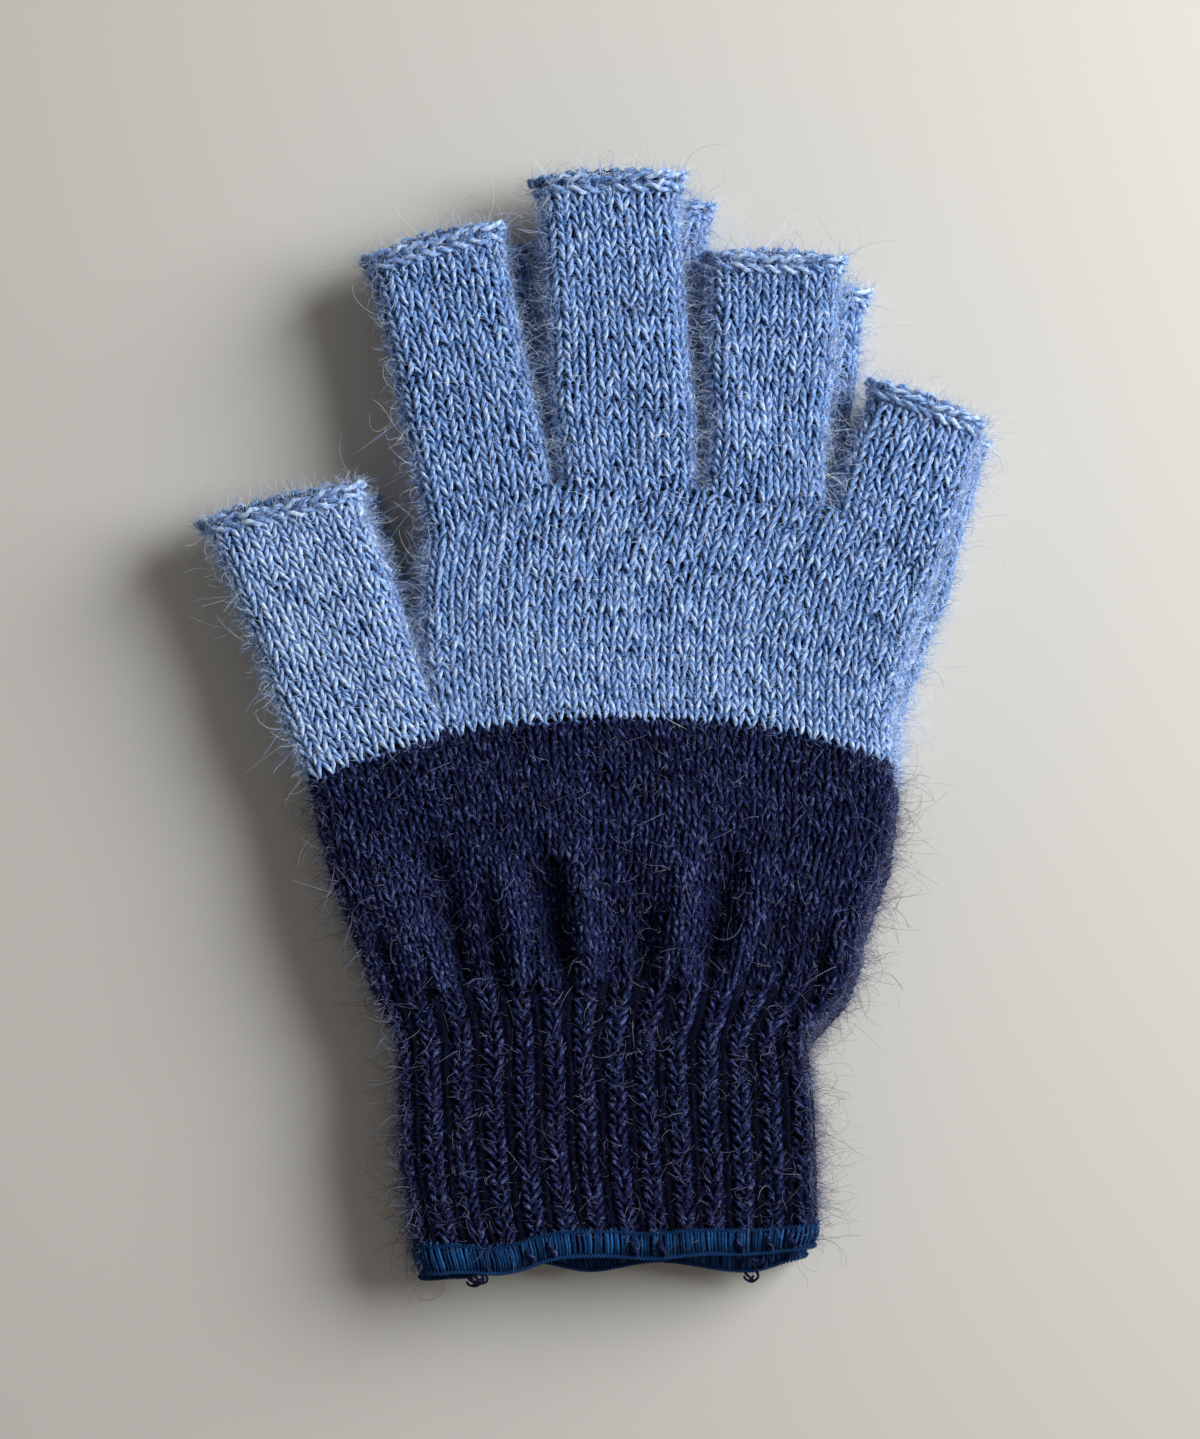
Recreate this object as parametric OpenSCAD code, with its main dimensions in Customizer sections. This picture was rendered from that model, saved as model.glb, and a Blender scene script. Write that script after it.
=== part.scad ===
// A pair of short-finger knitted gloves, laid flat one on the other.
// Each glove is a hollow knitted tube: a hemmed rib cuff, a dark hand, a light palm, five open digits.
// +Y runs from the cuff to the fingertips, the thumbs lie on the -X side, and the pair rests on Z = 0.
// A glove's own frame has its origin at the middle of the hem's lower edge.

/* [Cuff] */
// Width of the ribbed cuff at the wrist, laid flat
cuff_w = 71; // [68:1:74]
// Height of the ribbed cuff above the hem
cuff_h = 33.7; // [28:0.1:40]
// Width of the hem, laid flat
hem_w = 68; // [64:1:70]
// Height of the overlocked hem
hem_h = 4.8; // [4:0.1:6]

/* [Hand] */
// Width of the hand across the roots of the four fingers
hand_w = 88; // [84:1:92]
// Height of the dark hand section at its middle
dark_h = 53.5; // [48:0.5:58]
// Height of the light palm, from the dark section to the highest finger crotch
palm_h = 40; // [36:0.5:44]
// Height of the thumb crotch above the top of the dark section
thumb_rise = 3.5; // [2:0.5:6]

/* [Digits] */
// Length of the thumb beyond its crotch
thumb_len = 38; // [30:1:50]
// Length of the index finger beyond its crotch
index_len = 43; // [30:1:60]
// Length of the middle finger beyond its crotch
middle_len = 50.5; // [34:1:64]
// Length of the ring finger beyond its crotch
ring_len = 40; // [30:1:60]
// Length of the little finger beyond its crotch
little_len = 22.5; // [16:1:40]
// Height of the bound-off edge at each digit's mouth
edge_h = 2.2; // [1.5:0.1:3]

/* [Fabric] */
// Thickness of one glove, laid flat
glove_t = 7.6; // [7.2:0.1:9]
// Thickness of the knit
knit_t = 1.5; // [1.2:0.1:1.5]

/* [Stack] */
// Clearance between the upper glove and the lower one
stack_gap = 0.3; // [0.3:0.1:2]
// Turn of the lower glove, clockwise seen from above
pair_turn = 1.6; // [1.4:0.1:1.8]
// How far the lower glove's hem lies to the left of the upper one's
pair_shift_x = 0.8; // [0.6:0.1:1]
// How far the lower glove's hem lies below the upper one's
pair_shift_y = 3; // [2.5:0.1:3.5]

/* [Hidden] */

$fn = 32;
light_yarn = "#7e9fd0";
dark_yarn = "#1c2144";
hem_thread = "#1d4f90";

joint_gap = 0.3;          // clearance where two moving pieces meet
side_gap = 0.25;          // clearance on each side of a finger's root
overlap = 3;              // how far one part of the palm reaches into the next
cap_step = 30;            // degrees between the points of a fold at the edge of the fabric
flat_steps = 10;          // steps across the flat of a row
side_rows = 6;            // rows up the dark hand section

wrist_y = hem_h + cuff_h;
arch_y = wrist_y + dark_h;
top_y = arch_y + palm_h;
wrist_x = -3.5;           // middle of the wrist
cuff_foot_x = -1;         // middle of the cuff where it meets the hem
dip_left = 10.6;          // fall of the dark section's top edge from its middle to the thumb side
dip_right = 7.5;          // and to the little finger's side
arch_power = 2.6;         // squareness of that arch
thumb_side_x = -54.6;     // dark section's top corner on the thumb side
palm_side_x = 46.1;       // dark section's top corner on the little finger's side
thumb_swell = 0.72;       // how soon the dark section's thumb side swells: below 1 it does so near the wrist
palm_swell = 2.6;         // how fully its other side swells
root_square = 1;          // a digit's root is cut square this far past its higher corner

// Corners of the finger roots: part of the hand's width, and fall from the highest crotch
ROOTS = [
    for (r = [[-0.386, 9.5], [-0.131, 0], [0.148, 1.5], [0.392, 4.5], [0.614, 15.5]])
        [r[0] * hand_w, top_y - r[1]]
];
// The thumb's root corners
THUMB_FOOT = [thumb_side_x - 3.2, arch_y - 6.5];
THUMB_CROTCH = [-33.3, arch_y + thumb_rise];
PALM_SIDE = [palm_side_x + 1.5, arch_y - 0.5];

// Each digit: root corner on the thumb side, other root corner, lean in degrees to the right,
// length beyond the crotch, and width of its mouth
function digits(leans, mouths) = [
    [THUMB_FOOT, THUMB_CROTCH, leans[0], thumb_len, mouths[0]],
    [ROOTS[0], ROOTS[1], leans[1], index_len, mouths[1]],
    [ROOTS[1], ROOTS[2], leans[2], middle_len, mouths[2]],
    [ROOTS[2], ROOTS[3], leans[3], ring_len, mouths[3]],
    [ROOTS[3], ROOTS[4], leans[4], little_len, mouths[4]]
];
UPPER_LEANS = [-19, -12, -4, 2.5, 17];
UPPER_MOUTHS = [29, 26, 26.8, 25.4, 22];
LOWER_LEANS = [-19, -10.5, -2.5, 4, 13];
LOWER_MOUTHS = [28, 25.5, 25.8, 25, 21.5];
DIGITS_UPPER = digits(UPPER_LEANS, UPPER_MOUTHS);
DIGITS_LOWER = digits(LOWER_LEANS, LOWER_MOUTHS);

// Inside the palm: the line where its thumb part meets the rest, and the rows that the rest runs through
SPLIT_MIDDLE = [(THUMB_CROTCH[0] + PALM_SIDE[0]) / 2, arch_y + 7];
PALM_FOOT = [[THUMB_CROTCH[0] - 1, arch_y + 0.5], PALM_SIDE - [0, overlap]];
PALM_WAIST = [[THUMB_CROTCH[0] - 0.1, arch_y + 17], [PALM_SIDE[0] + 1.6, arch_y + 12]];
foot_rise = 4.5;          // rise of the palm's foot to its middle
wall_lap = 1;             // how far a hollow runs past the face that it opens through

function ahead(lean) = [sin(lean), cos(lean)];
function across(lean) = [cos(lean), -sin(lean)];

// A row of the knit runs across the glove: a function from 0 at its left end to 1 at its right end
function straight_row(a, b) = function(u) a + (b - a) * u;
function arched_row(a, b, rise) =
    function(u) a + (b - a) * u + [0, rise * (1 - pow(abs(2 * u - 1), arch_power))];
function bent_row(points) =
    let (n = len(points) - 1,
         xs = [for (i = [0:n]) [i / n, points[i][0]]],
         ys = [for (i = [0:n]) [i / n, points[i][1]]])
    function(u) [lookup(u, xs), lookup(u, ys)];
function moved_row(row, by) = function(u) row(u) + by;
function row_width(row) = norm(row(1) - row(0));

// A digit's row at a distance beyond its crotch
function digit_start(d) = max(d[0] * ahead(d[2]), d[1] * ahead(d[2])) + root_square;
function digit_middle(d) = (d[0] + d[1]) * across(d[2]) / 2;
function root_width(d) = (d[1] - d[0]) * across(d[2]) - 2 * side_gap;
function digit_row(d, far) =
    let (w = root_width(d) + (d[4] - root_width(d)) * max(far, 0) / d[3],
         middle = ahead(d[2]) * (digit_start(d) + far) + across(d[2]) * digit_middle(d))
    straight_row(middle - across(d[2]) * w / 2, middle + across(d[2]) * w / 2);

// The lower glove lies turned and shifted under the upper one
function spun(p, turn) = [p[0] * cos(turn) + p[1] * sin(turn), p[1] * cos(turn) - p[0] * sin(turn)];
function placed(p) = spun(p, pair_turn) - [pair_shift_x, pair_shift_y];
function unplaced(p) = spun(p + [pair_shift_x, pair_shift_y], -pair_turn);

// A digit bends on a line [point, lean], which both gloves share: the upper digit's own square root
UPPER_BENDS = [for (d = DIGITS_UPPER) [digit_row(d, 0)(0.5), d[2]]];
LOWER_BENDS = [for (b = UPPER_BENDS) [unplaced(b[0]), b[1] - pair_turn]];
function edge_point(d, bend, side, gap) =
    let (foot = digit_row(d, 0)(side),
         run = (digit_row(d, d[3])(side) - foot) / d[3],
         normal = ahead(bend[1]))
    foot + run * ((bend[0] - foot) * normal + gap) / (run * normal);
function bend_row(d, bend, gap) = straight_row(edge_point(d, bend, 0, gap), edge_point(d, bend, 1, gap));

// The dark section's outline swells from the wrist to its top corners
function thumb_side_swell(t) = pow(t, thumb_swell);
function palm_side_swell(t) = 1 - pow(1 - t, palm_swell);
function hand_row(t) =
    let (left = wrist_x - cuff_w / 2, right = wrist_x + cuff_w / 2)
    arched_row(
        [left + (thumb_side_x - left) * thumb_side_swell(t), wrist_y + (dark_h - dip_left) * t],
        [right + (palm_side_x - right) * palm_side_swell(t), wrist_y + (dark_h - dip_right) * t],
        (dip_left + dip_right) / 2 * t);

// The outline of a row in section, a flat band with round folds, as points round it from the left fold
function fold_angles() = [for (a = [0:cap_step:90 - cap_step]) a];
function row_half(row, inset) =
    let (r = glove_t / 2 - inset, w = row_width(row), reach = inset + r)
    concat(
        [for (a = fold_angles()) [(inset + r * (1 - cos(a))) / w, r * sin(a)]],
        [for (i = [0:flat_steps]) [(reach + (w - 2 * reach) * i / flat_steps) / w, r]],
        [for (i = [len(fold_angles()) - 1:-1:0])
            let (a = fold_angles()[i]) [1 - (inset + r * (1 - cos(a))) / w, r * sin(a)]]);
function section(row, inset) =
    let (half = row_half(row, inset), n = len(half), z0 = glove_t / 2)
    concat(
        [for (s = half) [row(s[0])[0], row(s[0])[1], z0 + s[1]]],
        [for (i = [n - 2:-1:1]) let (s = half[i]) [row(s[0])[0], row(s[0])[1], z0 - s[1]]]);

function wall_faces(base, rows, n) =
    [for (j = [0:rows - 2], i = [0:n - 1])
        let (a = base + j * n + i, b = base + j * n + (i + 1) % n)
        each [[a, a + n, b], [a + n, b + n, b]]];
function flipped(faces) = [for (f = faces) [for (i = [len(f) - 1:-1:0]) f[i]]];

// A closed band of fabric through several rows
module solid_band(rows, inset = 0) {
    n = len(section(rows[0], inset));
    last = (len(rows) - 1) * n;
    points = [for (row = rows) each section(row, inset)];
    end_strip = [for (i = [0:n / 2 - 1])
        i == 0 ? [0, 1, n - 1] : i == n / 2 - 1 ? [i, i + 1, n - i] : [i, i + 1, n - i - 1, n - i]];
    polyhedron(points, concat(
        wall_faces(0, len(rows), n),
        end_strip,
        [for (f = flipped(end_strip)) [for (i = f) i + last]]));
}

// The same band as a hollow tube, open at both ends
module tube(rows) {
    n = len(section(rows[0], 0));
    inner = len(rows) * n;
    last = inner - n;
    rim = [for (i = [0:n - 1])
        let (b = (i + 1) % n) each [[i, b, inner + b], [i, inner + b, inner + i]]];
    far_rim = [for (f = rim) [for (i = f) i + last]];
    points = concat(
        [for (row = rows) each section(row, 0)],
        [for (row = rows) each section(row, knit_t)]);
    polyhedron(points, concat(
        wall_faces(0, len(rows), n),
        flipped(wall_faces(inner, len(rows), n)),
        rim,
        flipped(far_rim)));
}

module stadium_ring(w, wall, h) {
    translate([0, 0, glove_t / 2]) rotate([-90, 0, 0]) linear_extrude(h) difference() {
        union() {
            square([w - glove_t, glove_t], center = true);
            for (side = [-1, 1]) translate([side * (w - glove_t) / 2, 0]) circle(d = glove_t);
        }
        square([w - glove_t, glove_t - 2 * wall], center = true);
        for (side = [-1, 1]) translate([side * (w - glove_t) / 2, 0]) circle(d = glove_t - 2 * wall);
    }
}

module hem() {
    color(hem_thread) stadium_ring(hem_w, knit_t, hem_h);
}

module cuff() {
    foot = straight_row([cuff_foot_x - hem_w / 2, hem_h], [cuff_foot_x + hem_w / 2, hem_h]);
    wrist = moved_row(hand_row(0), [0, -joint_gap]);
    color(dark_yarn) tube([foot, wrist]);
}

module hand() {
    color(dark_yarn) tube([for (j = [0:side_rows]) hand_row(j / side_rows)]);
}

// The palm is one fabric: a yoke below the thumb crotch, the palm above it, and the roots of the digits
module palm(digits, bends) {
    dark_edge = hand_row(1);
    split = bent_row([THUMB_FOOT, THUMB_CROTCH, SPLIT_MIDDLE, PALM_SIDE]);
    palm_foot = arched_row(PALM_FOOT[0], PALM_FOOT[1], foot_rise);
    palm_middle = straight_row(PALM_WAIST[0], PALM_WAIST[1]);
    palm_top = bent_row(ROOTS);
    web = [0, -knit_t];
    color(light_yarn) difference() {
        union() {
            solid_band([dark_edge, split]);
            solid_band([palm_foot, palm_middle, palm_top]);
            for (i = [0:len(digits) - 1])
                solid_band([digit_row(digits[i], -root_depth(digits[i])),
                    bend_row(digits[i], bends[i], 0)]);
        }
        solid_band([moved_row(dark_edge, [0, -wall_lap]), moved_row(split, web)], knit_t);
        solid_band([palm_foot, palm_middle, moved_row(palm_top, web)], knit_t);
        for (i = [0:len(digits) - 1])
            solid_band([digit_row(digits[i], -root_depth(digits[i]) - overlap),
                bend_row(digits[i], bends[i], wall_lap)], knit_t);
    }
}
function root_depth(d) = abs((d[1] - d[0]) * ahead(d[2])) + overlap;

module digit(d, bend) {
    color(light_yarn) tube([bend_row(d, bend, joint_gap), digit_row(d, d[3] - edge_h)]);
}

module digit_edge(d) {
    middle = digit_row(d, d[3] - edge_h)(0.5);
    color(light_yarn)
        translate([middle[0], middle[1], 0]) rotate(-d[2]) stadium_ring(d[4], knit_t, edge_h);
}

// The pair is centred on the origin
thumb_corner = digit_row(DIGITS_UPPER[0], thumb_len - edge_h)(0);
little_corner = digit_row(DIGITS_UPPER[4], little_len - edge_h)(1);
lower_little_corner = placed(digit_row(DIGITS_LOWER[4], little_len - edge_h)(1));
middle_corner = digit_row(DIGITS_UPPER[2], middle_len)(1);
hem_corner = placed([hem_w / 2, 0]);
right_side = max(little_corner[0], lower_little_corner[0]);
centre = [(thumb_corner[0] + right_side) / 2, (middle_corner[1] + hem_corner[1]) / 2];

module upper() {
    translate([-centre[0], -centre[1], glove_t + stack_gap]) children();
}

module lower() {
    translate([-centre[0] - pair_shift_x, -centre[1] - pair_shift_y, 0]) rotate(-pair_turn) children();
}

upper() hem();  // upper_hem
upper() cuff();  // upper_cuff
upper() hand();  // upper_hand
upper() palm(DIGITS_UPPER, UPPER_BENDS);  // upper_palm
upper() digit(DIGITS_UPPER[0], UPPER_BENDS[0]);  // upper_thumb
upper() digit(DIGITS_UPPER[1], UPPER_BENDS[1]);  // upper_index
upper() digit(DIGITS_UPPER[2], UPPER_BENDS[2]);  // upper_middle
upper() digit(DIGITS_UPPER[3], UPPER_BENDS[3]);  // upper_ring
upper() digit(DIGITS_UPPER[4], UPPER_BENDS[4]);  // upper_little
upper() digit_edge(DIGITS_UPPER[0]);  // upper_thumb_edge
upper() digit_edge(DIGITS_UPPER[1]);  // upper_index_edge
upper() digit_edge(DIGITS_UPPER[2]);  // upper_middle_edge
upper() digit_edge(DIGITS_UPPER[3]);  // upper_ring_edge
upper() digit_edge(DIGITS_UPPER[4]);  // upper_little_edge
lower() hem();  // lower_hem
lower() cuff();  // lower_cuff
lower() hand();  // lower_hand
lower() palm(DIGITS_LOWER, LOWER_BENDS);  // lower_palm
lower() digit(DIGITS_LOWER[0], LOWER_BENDS[0]);  // lower_thumb
lower() digit(DIGITS_LOWER[1], LOWER_BENDS[1]);  // lower_index
lower() digit(DIGITS_LOWER[2], LOWER_BENDS[2]);  // lower_middle
lower() digit(DIGITS_LOWER[3], LOWER_BENDS[3]);  // lower_ring
lower() digit(DIGITS_LOWER[4], LOWER_BENDS[4]);  // lower_little
lower() digit_edge(DIGITS_LOWER[0]);  // lower_thumb_edge
lower() digit_edge(DIGITS_LOWER[1]);  // lower_index_edge
lower() digit_edge(DIGITS_LOWER[2]);  // lower_middle_edge
lower() digit_edge(DIGITS_LOWER[3]);  // lower_ring_edge
lower() digit_edge(DIGITS_LOWER[4]);  // lower_little_edge
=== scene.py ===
"""A pair of short-finger knitted gloves, laid flat one on the other.

Every glove is knitted stitch by stitch: each course is one closed yarn that loops through the course
below it. Lengths are in millimetres until a mesh is made. A glove is laid out in its own flat frame, with
its origin at the middle of its hem's lower edge and +Y towards the fingertips. Its outline is measured
from the CAD nodes.
"""

import math

import bpy
import numpy as np
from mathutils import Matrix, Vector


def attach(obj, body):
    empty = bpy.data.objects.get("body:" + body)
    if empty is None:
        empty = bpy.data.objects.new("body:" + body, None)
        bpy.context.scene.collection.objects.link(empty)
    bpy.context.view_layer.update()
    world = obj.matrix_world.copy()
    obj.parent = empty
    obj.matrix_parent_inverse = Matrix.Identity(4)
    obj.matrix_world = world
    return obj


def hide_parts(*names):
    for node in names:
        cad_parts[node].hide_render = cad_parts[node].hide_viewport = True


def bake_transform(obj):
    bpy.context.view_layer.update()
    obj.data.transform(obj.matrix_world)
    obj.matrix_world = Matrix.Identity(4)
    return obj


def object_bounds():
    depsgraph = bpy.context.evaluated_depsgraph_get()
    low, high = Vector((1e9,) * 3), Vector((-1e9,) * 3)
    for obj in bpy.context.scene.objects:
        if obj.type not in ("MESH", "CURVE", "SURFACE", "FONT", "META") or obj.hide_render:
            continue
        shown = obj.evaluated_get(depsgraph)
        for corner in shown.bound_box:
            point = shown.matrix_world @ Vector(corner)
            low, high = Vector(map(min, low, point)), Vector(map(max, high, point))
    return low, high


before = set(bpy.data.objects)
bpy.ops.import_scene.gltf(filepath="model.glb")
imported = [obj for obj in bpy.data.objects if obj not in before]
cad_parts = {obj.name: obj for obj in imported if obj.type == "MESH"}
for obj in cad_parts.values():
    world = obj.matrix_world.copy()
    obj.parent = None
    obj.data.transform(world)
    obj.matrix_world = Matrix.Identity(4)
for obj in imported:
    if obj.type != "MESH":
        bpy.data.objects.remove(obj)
cad_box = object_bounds()

MM = 0.001
GLOVES = ("lower", "upper")
DIGITS = ("thumb", "index", "middle", "ring", "little")

# Yarn and stitches
YARN_R = 0.40  # radius of the wool yarn
RIB_YARN_R = 0.43  # and in the fluffier rib
LOOP_SWING = 0.305  # how far a loop's legs swing sideways, in wales
RIB_SWING = 0.37
LOOP_REACH = 0.98  # half the height of a loop, in courses
LOOP_DEPTH = 0.46  # how far the legs stand in front of a loop's head
SAMPLES = 8  # points along one stitch
YARN_SIDES = 5
INSET = YARN_R + LOOP_DEPTH  # the yarn's middle surface lies this far inside the CAD surface
# The backing fills the gaps between stitches like felted fibre; its darkest tone is painted shade there.
BACKING = 1.0  # the backing lies this far behind the yarn's middle surface
BACKING_THICK = 0.4
BACKING_LAP = 0.3  # it runs this far past the section's ends, in courses
FOLD_R = 2.9  # radius of a flat tube's two folds
BLEND_LENGTH = 16.0  # length of a bend line

# How uneven the stitches are
SWING_VARIES = 0.12  # share by which the legs' swing varies
HEIGHT_VARIES = 0.07  # and the loops' height
SLIP = 0.05  # how far a loop slips sideways, in wales
LEAN = 0.09  # how far it leans up or down, in courses, and in or out, in millimetres
SLOW_THICK, QUICK_THICK = 0.07, 0.05  # share by which the yarn's thickness varies
SLOW_TONE, QUICK_TONE = 0.025, 0.03  # how much its tone varies
LOOP_PAINTED_SHADE = 0.20  # painted light and shade: loop fronts this much lighter, their backs darker
SUNK_PAINTED_SHADE = 0.35  # painted shade: share of that by which sunk fabric darkens per millimetre

# The tone of each section's yarn
RIB_TONE = 0.44
DARK_TONE = 0.425
THUMB_TONE = 0.575
PALM_TONES = (0.515, 0.45)  # at the navy yarn and at the fingers' roots

# Stitch counts: wales all the way round, and courses
RIBS = 28  # ribs round the cuff, each one plain wale and one purl wale
CUFF_COURSES = 28
DARK_WALES, DARK_COURSES = 84, 25
RIB_TOP = 0.17  # the cuff's courses run this far up the dark section's height
PALM_WALES, PALM_COURSES = 68, 24
DIGIT_WALES = dict(thumb=23, index=19, middle=20, ring=19, little=17)
DIGIT_COURSES = dict(thumb=27, index=27, middle=31, ring=25, little=15)

# The hem and the sides of the cuff and the hand
CUFF_START = 2.2  # the rib's first course lies this far above the hem's lower edge
# How the hem waves up and down: places across it and its height there
HEM_WAVE = dict(
    upper=((0.0, -3.1), (0.15, -2.1), (0.37, 0.6), (0.48, 0.7), (0.6, 0.2), (0.75, 0.7), (1.0, 1.3)),
    lower=((0.0, -2.8), (0.1, -2.2), (0.28, 1.0), (0.44, -0.5), (0.62, 1.7), (0.84, 0.4), (1.0, 2.6)))
CUFF_BULGE = (-2.0, 0.7)  # how far each side of the cuff moves towards +X near the hem
HAND_WAIST = 1.0  # the little finger's side stands out this far above the wrist, and in as far higher up
WAIST_TOP = 0.7  # part of the section's height where that ends

# The palm and the thumb
THUMB_PART = 0.235  # share of the dark section's top edge that the thumb is knitted from
PALM_LAP = 0.02  # the palm starts this share of the edge before the thumb's part ends
THUMB_LAP = 0.022  # and the thumb itself ends this share after it
PALM_BOW = (-2.0, -1.6)  # how far each side of the palm bows towards +X
PALM_CROWN = 11.5  # height of the arch that the palm's courses would rise to without the crotches
CROTCH_PULL = 2.5  # the higher this power, the later the crotches pull the courses down
CROTCH_COURSE = 4  # the thumb parts from the palm this many courses above the dark section
THUMB_CROTCH = np.array([1.6, 1.5])  # from the corner behind the thumb's root to its crotch

# How far each root lies behind the bend line's corner, along the digit
CROTCH_BACK = 1.0
OUTER_BACK = dict(index=5.4, little=5.9)

# The open mouths of the digits
FLARE = 1.1  # each corner of a mouth stands out this far
FLARE_LENGTH = 6.0
# How far each corner of a mouth, thumb side first, lies beyond the square end of its digit
MOUTH_SHIFT = dict(thumb=(1.5, -0.8), index=(0.0, 1.0), middle=(0.0, -0.5), ring=(-0.7, -0.4),
                   little=(-0.5, -2.2))
GAPE = 0.85  # the front rim sags this far
BACK_GAPE = 0.8  # and the back rim rises by this share of it
CORNER_DROP = 0.9  # the mouth's corners draw back this far
MOUTH_RISE = 0.5  # the front rim stands up this far

# How the fabric lies unevenly in x, y and z: the height of its ripples, their size and their seed
UNEVEN = ((0.4, 19, 11), (0.3, 23, 12), (0.35, 26, 5))
FREE_HEIGHT = 8.0  # fabric this high or higher ripples fully up and down


# ---------- measuring the frame

FOLD_SLACK = 0.05  # a vertex this near a tube's middle height lies on its fold


def node_points(node):
    """A CAD node's vertices."""
    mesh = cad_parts[node].data
    co = np.empty(len(mesh.vertices) * 3, np.float32)
    mesh.vertices.foreach_get("co", co)
    return np.unique(np.round(co.reshape(-1, 3) / MM, 3), axis=0).astype(float)


def long_axis(points):
    """Unit vector in XY of a flat ring's longer side, pointing to +X."""
    flat = points[:, :2] - points[:, :2].mean(axis=0)
    axis = np.linalg.eigh(flat.T @ flat)[1][:, -1]
    return axis * math.copysign(1.0, axis[0])


def turned(axis):
    """The in-plane direction a quarter turn to the left of axis."""
    return np.array([-axis[1], axis[0]])


def middle(values):
    return (values.min() + values.max()) / 2


class Lie:
    """Where one glove lies: its flat frame in the shared frame."""

    def __init__(self, glove):
        hem = node_points(glove + "_hem")
        self.x = long_axis(hem)
        self.y = turned(self.x)
        along, up = hem[:, :2] @ self.x, hem[:, :2] @ self.y
        self.origin = self.x * middle(along) + self.y * up.min()
        self.z = middle(hem[:, 2])

    def flat(self, points):
        rel = points[:, :2] - self.origin
        return np.stack([rel @ self.x, rel @ self.y, points[:, 2] - self.z], axis=1)

    def place(self, points):
        xy = self.origin + points[..., 0:1] * self.x + points[..., 1:2] * self.y
        return np.concatenate([xy, points[..., 2:3] + self.z], axis=-1)

    def turn(self, vectors):
        xy = vectors[..., 0:1] * self.x + vectors[..., 1:2] * self.y
        return np.concatenate([xy, vectors[..., 2:3]], axis=-1)


def fold_points(points):
    """Places in XY of a tube's vertices that lie along its two folds."""
    return points[np.abs(points[:, 2]) < FOLD_SLACK][:, :2]


def edge_corners(points):
    """Left and right outline of a tube in its flat frame, each as rows of x and y from the bottom up."""
    fold = fold_points(points)
    centre = middle(fold[:, 0])
    sides = []
    for sign in (-1, 1):
        side = fold[(fold[:, 0] - centre) * sign > 0]
        side = side[np.argsort(side[:, 1])]
        pairs = side[: len(side) // 2 * 2].reshape(-1, 2, 2)
        outer = np.argmax(pairs[:, :, 0] * sign, axis=1)
        sides.append(pairs[np.arange(len(pairs)), outer])
    return sides


def measure_digit(lie, glove, name):
    """Corners of a digit's root and of its mouth, thumb side first, in the glove's flat frame."""
    rim = lie.flat(node_points(f"{glove}_{name}_edge"))
    across = long_axis(rim)
    ahead = turned(across)
    rim_across, rim_ahead = rim[:, :2] @ across, rim[:, :2] @ ahead
    mouth = [across * edge + ahead * rim_ahead.max() for edge in (rim_across.min(), rim_across.max())]
    fold = fold_points(lie.flat(node_points(f"{glove}_{name}")))
    fold_ahead = fold @ ahead
    root_points = fold[fold_ahead < middle(fold_ahead)]
    root_across = root_points @ across
    root = [root_points[np.argmin(root_across)], root_points[np.argmax(root_across)]]
    return dict(root=root, mouth=mouth, across=across, ahead=ahead)


# ---------- the flat shape of a glove

def mix(a, b, t):
    return a * (1 - t) + b * t


def smooth(t):
    t = np.clip(t, 0, 1)
    return t * t * (3 - 2 * t)


def column(values):
    return np.asarray(values, float)[..., None]


def along(points, t):
    """Points on a polyline at parts t of its length."""
    points = np.asarray(points, float)
    steps = np.linalg.norm(np.diff(points, axis=0), axis=1)
    knots = np.concatenate([[0], np.cumsum(steps)]) / steps.sum()
    # past its ends the line runs straight on
    lead, tail = np.minimum(t, 0), np.maximum(t - 1, 0)
    inside = np.stack([np.interp(t, knots, points[:, i]) for i in (0, 1)], axis=-1)
    first = (points[1] - points[0]) / knots[1]
    last = (points[-1] - points[-2]) / (1 - knots[-2])
    return inside + column(lead) * first + column(tail) * last


def arch(u, power=2.6):
    return 1 - np.abs(2 * u - 1) ** power


def wave(u, knots):
    """A smooth wave through knots of place and height."""
    places, heights = np.array(knots).T
    i = np.clip(np.searchsorted(places, u) - 1, 0, len(places) - 2)
    return mix(heights[i], heights[i + 1], smooth((u - places[i]) / (places[i + 1] - places[i])))


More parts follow.
